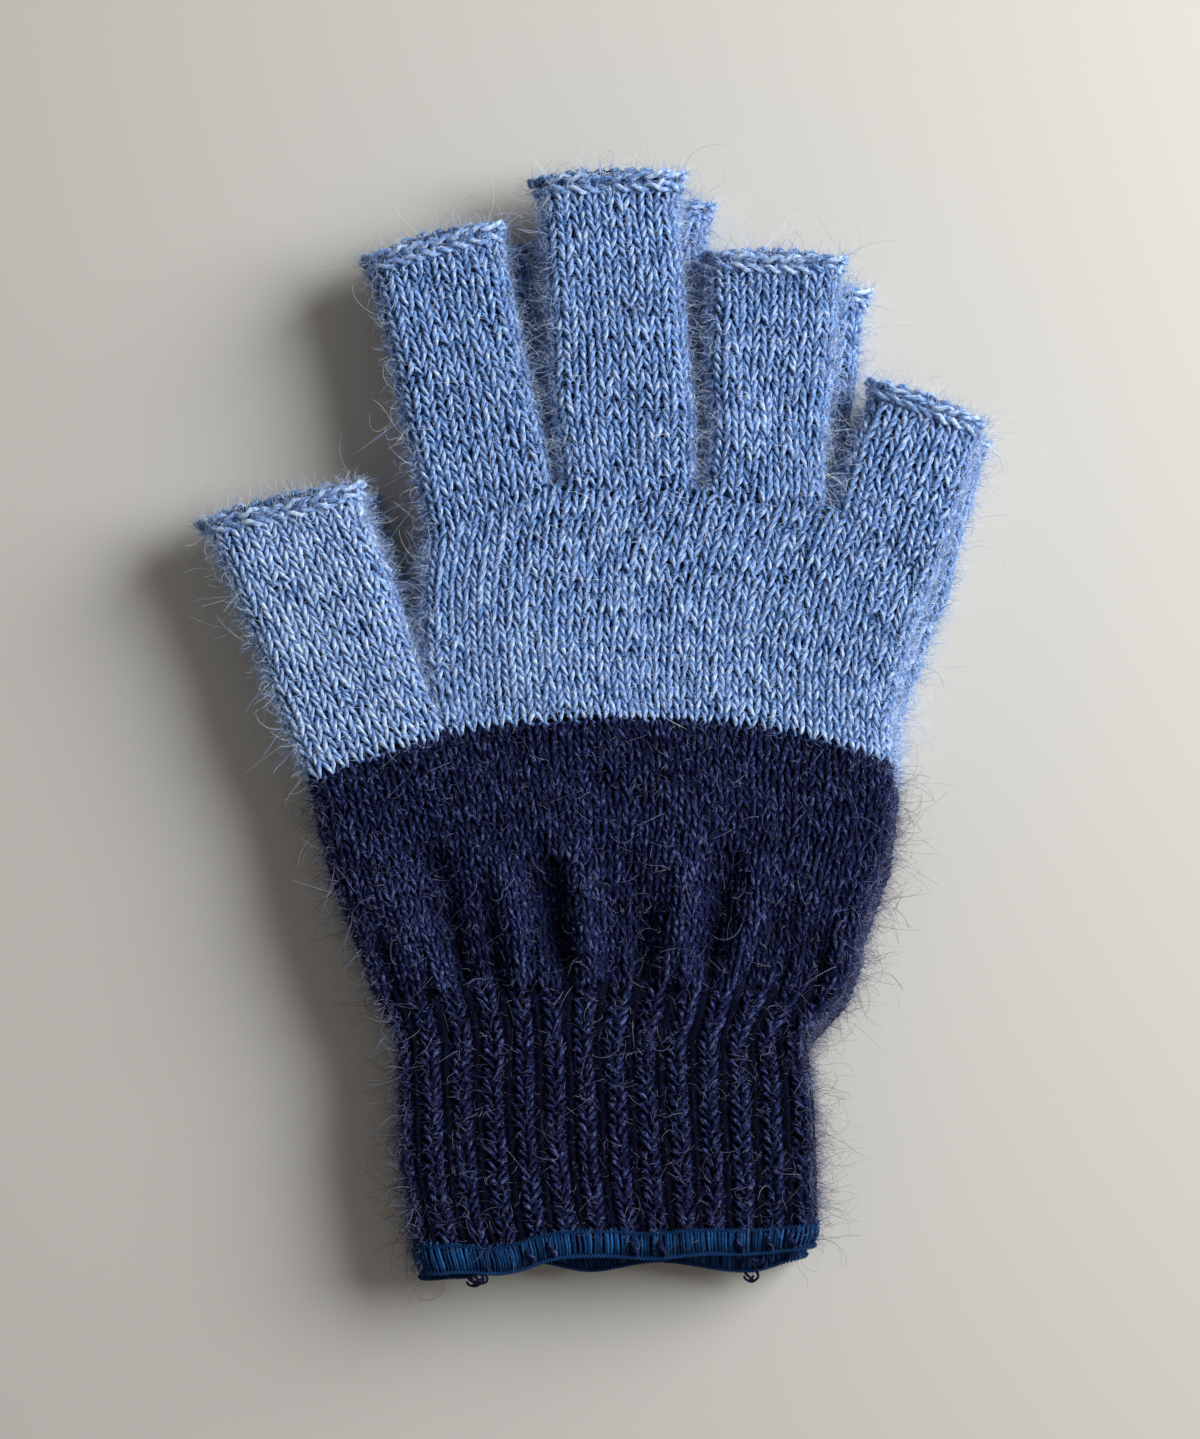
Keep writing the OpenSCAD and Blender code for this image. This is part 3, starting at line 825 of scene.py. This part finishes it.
def fuzz_for(paths, normals, glove, yarn, seed, kinds=("nap", "halo"), thick=1.0):
    """Fibres on a section's yarn: a nap with a few long hairs, a halo at its folds with many, or both."""
    rng = np.random.default_rng(seed)
    strands = Strands()
    places, ups = paths.reshape(-1, 3), normals.reshape(-1, 3)
    stitches = len(places) / SAMPLES * thick
    nap, hidden_nap, halo = FUZZ[glove, yarn]
    seen = ups[:, 2] > SEEN_UP
    fold = np.abs(ups[:, 2]) < FOLD_UP
    crops = []
    if "nap" in kinds:
        crops += [(seen, seen.mean(), nap, NAP), (~seen, (~seen).mean(), hidden_nap, NAP),
                  (seen, 1.0, LONG_HAIRS, LONG_HAIR)]
    if "halo" in kinds:
        crops += [(fold, fold.mean(), halo, HALO), (fold, fold.mean(), FLYAWAYS[yarn], FLYAWAY)]
    for mask, share, dense, kind in crops:
        add_fuzz(strands, places[mask], ups[mask], int(stitches * share * dense), rng, kind)
    return strands


# ---------- building the gloves

def knit(section, seed, tone, yarn_r=YARN_R):
    """A section's yarn, and a backing that fills its gaps like felted fibre, dark with painted shade."""
    rng = np.random.default_rng(seed)
    paths, normals, front = section.courses_of_yarn(seed)
    slow, quick = (smoothed(rng, paths.shape[:2], width) for width in (3, 1))
    radii = yarn_r * (1 + SLOW_THICK * slow + QUICK_THICK * quick)
    # painted light and shade: loop fronts lighter, their backs and sunk fabric darker
    tones = tone + SLOW_TONE * slow + QUICK_TONE * quick + LOOP_PAINTED_SHADE * front
    strands = Strands(section.shape.room)
    strands.add(paths, radii, normals, tones, closed=True)
    a = np.arange(0, section.wales, 0.5)[None]
    b = np.linspace(-BACKING_LAP, section.courses + BACKING_LAP, section.courses // 2 + 2)[:, None]
    a, b = np.broadcast_arrays(a, b)
    under = [section.stitch(a, b, 0 * b - depth)[0] for depth in (BACKING, BACKING + BACKING_THICK)]
    # the backing takes the darkest tone: painted shade in the gaps between stitches
    strands.add_sheet(*under, 0.0)
    return strands, paths, normals


def palm_phase(palm, digit_row, wales):
    """Turns a digit's wales so that they run on from the palm's at the digit's middle."""
    middle_x = digit_row(np.array([0.5]), np.array([0.0]))[0, 0]
    a = np.linspace(0, palm.wales / 2, 400)
    row_x = palm.shape.lie.flat(palm.surface(a, np.full_like(a, palm.courses))[0])[:, 0]
    wale = np.interp(middle_x, row_x, a)
    return (wales / 4 - wale) % 1.0


# The chain of stitches that binds off a mouth, and the turned rim behind it, dark with painted shade
CHAIN_POINTS = 11
CHAIN_TURN = (0.04, 0.96)  # the part of a full turn that a link makes
CHAIN_REACH = 0.80  # half of a link's length, in wales
CHAIN_WIDE = 2.6  # a link's width, in courses
CHAIN_LOOP = 0.27  # how round it is
CHAIN_OUT = 0.30  # the chain stands this far in front of the knit's middle surface
CHAIN_DIP = 0.5  # and a link dips this far under the next
CHAIN_YARN_R = YARN_R * 1.15
CHAIN_TONE = 0.56
RIM_LEVELS = (-0.4, 0.4, 0.8)  # courses beyond the digit's last
RIM_DEPTHS = (0.25, 0.95)  # how far its two faces lie behind the knit's middle surface
# the rim's dark tone is painted shade in the mouth's hollow
RIM_PAINTED_SHADE = 0.15


def bind_off(section, seed):
    """A chain of stitches along a digit's mouth, and the turned rim that it closes, in painted shade."""
    rng = np.random.default_rng(seed)
    t = np.linspace(*CHAIN_TURN, CHAIN_POINTS)[None] * math.tau
    uneven = rng.normal(0, 1, (section.wales, 1))
    a = np.arange(section.wales)[:, None] + 0.5 - CHAIN_REACH * np.cos(t) + 0.06 * uneven
    across = (t / math.tau - 0.5 + CHAIN_LOOP * np.sin(2 * t)) * (CHAIN_WIDE + 0.2 * uneven)
    depth = CHAIN_OUT - CHAIN_DIP * np.cos(2 * t) + 0.08 * uneven
    paths, normals = section.stitch(a, section.courses + 0.1 + across, depth)
    radii = CHAIN_YARN_R * (1 + 0.06 * rng.normal(0, 1, paths.shape[:2]))
    strands = Strands(section.shape.room)
    # painted shade: the parts of each link that dip under the next are darker
    tones = CHAIN_TONE + 0.08 * uneven - 0.1 * np.cos(2 * t)
    strands.add(paths, radii, normals, tones)
    a = np.arange(0, section.wales, 0.5)[None]
    b = section.courses + np.array(RIM_LEVELS)[:, None]
    place, normal = section.surface(*np.broadcast_arrays(a, b))
    strands.add_sheet(*(place - normal * depth for depth in RIM_DEPTHS), RIM_PAINTED_SHADE)
    return strands, paths, normals


HEM_PITCH = 0.56  # pitch of the overlock's turns
HEM_WALE = 2.58  # width of the cuff's wales at the hem
HEM_FOOT = 0.35  # the turns' lowest point
HEM_OUT = 0.65  # how far they stand out, and how much further halfway up
HEM_BULGE = 0.35
HEM_WOBBLE = 0.55  # how far the hem wobbles up and down, and the size of its ripples in wales
HEM_RIPPLE = 9
HEM_POINTS = 15
HEM_SLANT = 0.3  # how far a turn slants across the front, in wales
HEM_BACKING = (0.3, -0.4)  # depths of the backing's two faces
THREAD_R = 0.27
THREAD_TONE = 0.50
THREAD_TONE_VARIES = 0.16
# A looped thread runs along the hem's foot and one along its top: its distance from there, how far it
# swings, its radius and its tone
FOOT_THREAD = (0.55, 0.34, 0.16, 0.42)
TOP_THREAD = (-0.2, 0.40, 0.12, 0.30)
LOOP_OUT = 0.78  # how far these threads stand out
TUFTS = (0.28, 0.34, 0.53, 0.60, 0.80, 0.875, 0.93)  # where dark wool works through the hem's face
TUFT_FOOT, TUFT_TALL = 0.9, 2.6
TUFT_OUT, TUFT_BULGE = 0.55, 0.95
TUFT_R = 0.5
TAILS = (0.15, 0.84)  # where a loose end hangs below the hem
TAIL_SIDES = (-0.25, 0.15)  # its two strands, in wales to each side
TAIL_TOP, TAIL_DROP = 0.4, 1.9
TAIL_CURL = 0.35  # how far it curls, in wales and in millimetres
TAIL_R = 0.24
TAIL_TONE = 0.45


def overlock(strands, shape, section, spot, rng):
    """Thread wound over the cuff's edge, with a backing and with a looped thread along its foot and top."""
    turns = int(section.wales * HEM_WALE / HEM_PITCH)
    each = (turns, 1)
    q = np.linspace(0, 1, HEM_POINTS)[None]
    turn = q * math.pi
    a0 = (np.arange(turns)[:, None] + 0.22 * rng.normal(0, 1, each)) / turns * section.wales
    reach = shape.hem_top * (1 + 0.06 * rng.normal(0, 1, each))
    height = HEM_FOOT + (reach - HEM_FOOT) * np.abs(np.cos(turn)) ** 0.9
    bulge = HEM_BULGE * np.sin(np.clip(height / shape.hem_top, 0, 1) * math.pi)
    depth = (HEM_OUT + bulge) * np.tanh(4 * np.cos(turn)) - 0.1
    a = a0 + 0.14 * rng.normal(0, 1, each) * (q - 0.5) + HEM_SLANT * np.clip(0.5 - q, 0, 1)
    paths, normal = spot(a, height, depth)
    tones = THREAD_TONE + THREAD_TONE_VARIES * rng.normal(0, 1, each) + 0.12 * np.cos(q * 40)
    strands.add(paths, THREAD_R, normal, tones)
    a = np.arange(0, section.wales, 0.5)[None]
    level = np.array([0.45, 1.6, 3.0, shape.hem_top - 0.3])[:, None]
    a, level = np.broadcast_arrays(a, level)
    strands.add_sheet(*(spot(a, level, depth + 0 * a)[0] for depth in HEM_BACKING), 0.05)
    k = np.arange(turns * 4)[None]
    a = k / 4 / turns * section.wales
    for edge, (level, swing, radius, tone) in ((0, FOOT_THREAD), (shape.hem_top, TOP_THREAD)):
        height = edge + level + swing * np.sin(k * math.pi / 2 + 0.4)
        paths, normal = spot(a, height, LOOP_OUT + 0.12 * np.cos(k * math.pi))
        strands.add(paths, radius, normal, tone + 0 * a, closed=True)


def loose_wool(strands, section, spot, rng):
    """Dark wool that works through the hem's face, and the short ends that hang from it."""
    face = section.wales / 2
    t = np.linspace(0, 1, 9)[None]
    at = np.array(TUFTS)[:, None] * face
    a = at + 0.18 * np.sin(t * math.tau) + 0.1 * rng.normal(0, 1, at.shape)
    depth = TUFT_OUT + TUFT_BULGE * np.sin(t * math.pi)
    paths, normal = spot(a, TUFT_FOOT + TUFT_TALL * t + 0 * at, depth + 0 * at)
    strands.add(paths, TUFT_R, normal, TAIL_TONE + 0 * a)
    at = np.array(TAILS)[:, None] * face
    t = np.linspace(0, 1, 12)[None]
    for side in TAIL_SIDES:
        a = at + side + TAIL_CURL * np.sin(t * math.tau * 0.9 + side * 4)
        height = TAIL_TOP - TAIL_DROP * np.sin(t * math.pi * 0.85)
        paths, normal = spot(a, height + 0 * at, TAIL_CURL * np.cos(t * 5) + 0 * at)
        strands.add(paths, TAIL_R, normal, TAIL_TONE + 0 * a)


def hem(shape, section, seed):
    """The overlocked hem, and the dark wool that shows on it."""
    rng = np.random.default_rng(seed)
    course = (shape.wrist - CUFF_START) / (section.courses * shape.wrist_part())

    def spot(a, height, depth):
        height = height + HEM_WOBBLE * ripple(a, 0 * a, HEM_RIPPLE, seed)
        place, normal = section.surface(a, (height - CUFF_START) / course)
        return place + normal * column(depth), normal

    thread, wool_ends = Strands(shape.room), Strands(shape.room)
    overlock(thread, shape, section, spot, rng)
    loose_wool(wool_ends, section, spot, rng)
    return thread, wool_ends


def bend_line(shape, start, ahead):
    """A bend line's two ends, in metres in the shared frame."""
    points = np.array([[*start, 0.0], [*(start + ahead * BLEND_LENGTH), 0.0]])
    return [tuple(p) for p in shape.lie.place(points) * MM]


CROWN = dict(upper=0.7, lower=0.0)  # how far the front of a digit swells
HAND_CROWN = 0.6  # share of that by which the hand swells


def add_fur(glove, name, paths, normals, yarn, seed, body, bend=None, thick=1.0):
    """The fuzz on one of the large sections, as two pieces."""
    for k, kind in enumerate(("nap", "halo")):
        fur = fuzz_for(paths, normals, glove, yarn, seed + 100 * k, (kind,), thick)
        piece(f"{glove}_{name}_{kind}", fur, yarn + "_fuzz", body, (), bend)


def build_cuff(glove, shape, seed):
    """The rib and its overlocked hem, on the cuff below the wrist."""
    body, hand = glove + "_cuff", glove + "_hand"
    bend = bend_line(shape, (shape.hand_left[0] + shape.hand_right[0]) / 2, np.array([0, -1]))
    cuff = Section(shape, shape.cuff_row, 2 * RIBS, CUFF_COURSES, rib=cuff_rib)
    strands, paths, normals = knit(cuff, seed + 1, RIB_TONE, RIB_YARN_R)
    piece(glove + "_ribbed_cuff", strands, "dark", body, [body], bend)
    add_fur(glove, "ribbed_cuff", paths, normals, "dark", seed + 2, body, bend, CUFF_FUZZ)
    thread, wool_ends = hem(shape, cuff, seed + 3)
    piece(glove + "_overlocked_hem", thread, "thread", body, [glove + "_hem"])
    piece(glove + "_hem_wool_ends", wool_ends, "dark", body)


def build_hand(glove, shape, seed):
    """The navy hand and the light palm above it. Gives the palm, which the digits run on from."""
    hand = glove + "_hand"
    crown = CROWN[glove] * HAND_CROWN
    dark = Section(shape, shape.dark_row, DARK_WALES, DARK_COURSES, rib=hand_rib, crown=crown)
    strands, paths, normals = knit(dark, seed + 4, DARK_TONE)
    piece(glove + "_dark_hand", strands, "dark", hand, [hand])
    add_fur(glove, "dark_hand", paths, normals, "dark", seed + 5, hand)
    palm = Section(shape, shape.palm_row, PALM_WALES, PALM_COURSES, crown=crown)
    strands, paths, normals = knit(palm, seed + 8, np.linspace(*PALM_TONES, palm.courses)[:, None])
    piece(glove + "_palm_knit", strands, "light", hand, [glove + "_palm"])
    add_fur(glove, "palm", paths, normals, "light", seed + 9, hand)
    return palm


def build_digit(glove, shape, palm, name, seed):
    """One digit and its bound edge."""
    body, hand = f"{glove}_{name}", glove + "_hand"
    row, wales = shape.digit_row(name), DIGIT_WALES[name]
    phase = 0.0 if name == "thumb" else palm_phase(palm, row, wales)
    tube = Section(shape, row, wales, DIGIT_COURSES[name], phase=phase, crown=CROWN[glove],
                   digit=shape.digits[name])
    root = tube.digit["root"]
    bend = bend_line(shape, (root[0] + root[1]) / 2, tube.digit["ahead"])
    strands, paths, normals = knit(tube, seed + 20, THUMB_TONE if name == "thumb" else PALM_TONES[1])
    piece(body + "_knit", strands, "light", body, [body], bend)
    edge, edge_paths, edge_normals = bind_off(tube, seed + 30)
    piece(body + "_bound_edge", edge, "light", body, [body + "_edge"])
    all_paths = np.concatenate([paths.reshape(-1, 3), edge_paths.reshape(-1, 3)])
    ahead = shape.lie.turn(np.array([*tube.digit["ahead"], 0.0]))
    edge_normals = unit(0.5 * edge_normals.reshape(-1, 3) + ahead)
    all_normals = np.concatenate([normals.reshape(-1, 3), edge_normals])
    fuzz = fuzz_for(all_paths, all_normals, glove, "light", seed + 40)
    piece(body + "_fuzz", fuzz, "light_fuzz", body, (), bend)


def build_glove(glove, seed):
    """All the pieces of one glove. Every section, edge and fuzz draws from a seed of its own."""
    shape = Shape(glove)
    build_cuff(glove, shape, seed)
    palm = build_hand(glove, shape, seed)
    for k, name in enumerate(DIGITS):
        build_digit(glove, shape, palm, name, seed + k)


for number, glove in enumerate(GLOVES):
    build_glove(glove, 1000 * (number + 1))


# ---------- floor, light and camera

FLOOR_COLOUR = (0.61, 0.59, 0.555)
FLOOR_SIZE = 6
# One soft light, high on the little finger's side, and a dim warm studio round it
KEY_PLACE = (0.60, 0.27, 0.43)
KEY_AIM = (0, 0, 0.01)
KEY_SIZE = 0.60
KEY_POWER = 9.9
KEY_COLOUR = (0.98, 1.0, 0.995)
STUDIO_COLOUR = (1.0, 0.955, 0.885)
STUDIO_STRENGTH = 0.2


def floor():
    material, _, _, shader = node_tree("pale_floor")
    shader.inputs["Base Color"].default_value = (*FLOOR_COLOUR, 1)
    shader.inputs["Roughness"].default_value = 0.9
    bpy.ops.mesh.primitive_plane_add(size=FLOOR_SIZE)
    plane = bpy.context.object
    plane.name = "floor"
    plane.data.materials.append(material)


def key_light():
    light = bpy.data.lights.new("key", "AREA")
    light.shape = "DISK"
    light.size = KEY_SIZE
    light.energy = KEY_POWER
    light.color = KEY_COLOUR
    obj = bpy.data.objects.new("key", light)
    bpy.context.collection.objects.link(obj)
    obj.location = KEY_PLACE
    x, y, z = np.array(KEY_AIM) - np.array(KEY_PLACE)
    obj.rotation_euler = (math.atan2(math.hypot(x, y), -z), 0, math.atan2(y, x) - math.pi / 2)


def studio():
    world = bpy.data.worlds.new("studio")
    world.use_nodes = True
    background = world.node_tree.nodes["Background"]
    background.inputs["Color"].default_value = (*STUDIO_COLOUR, 1)
    background.inputs["Strength"].default_value = STUDIO_STRENGTH
    bpy.context.scene.world = world


VIEW_TALL = 0.2446  # height of the view at the top of the stack
CAMERA_UP = 0.55  # camera's height above the top of the stack
CAMERA_FROM_HEM = np.array([-4.1, 92.2])  # from the middle of the upper hem's lower edge
SENSOR = 36.0


def camera():
    data = bpy.data.cameras.new("camera")
    data.sensor_width = SENSOR
    data.lens = SENSOR * CAMERA_UP / VIEW_TALL
    data.clip_start = 0.01
    obj = bpy.data.objects.new("camera", data)
    bpy.context.collection.objects.link(obj)
    x, y = (Lie("upper").origin + CAMERA_FROM_HEM) * MM
    obj.location = (x, y, cad_box[1][2] + CAMERA_UP)
    bpy.context.scene.camera = obj


floor()
key_light()
studio()
camera()
bpy.context.scene.view_settings.view_transform = "Standard"
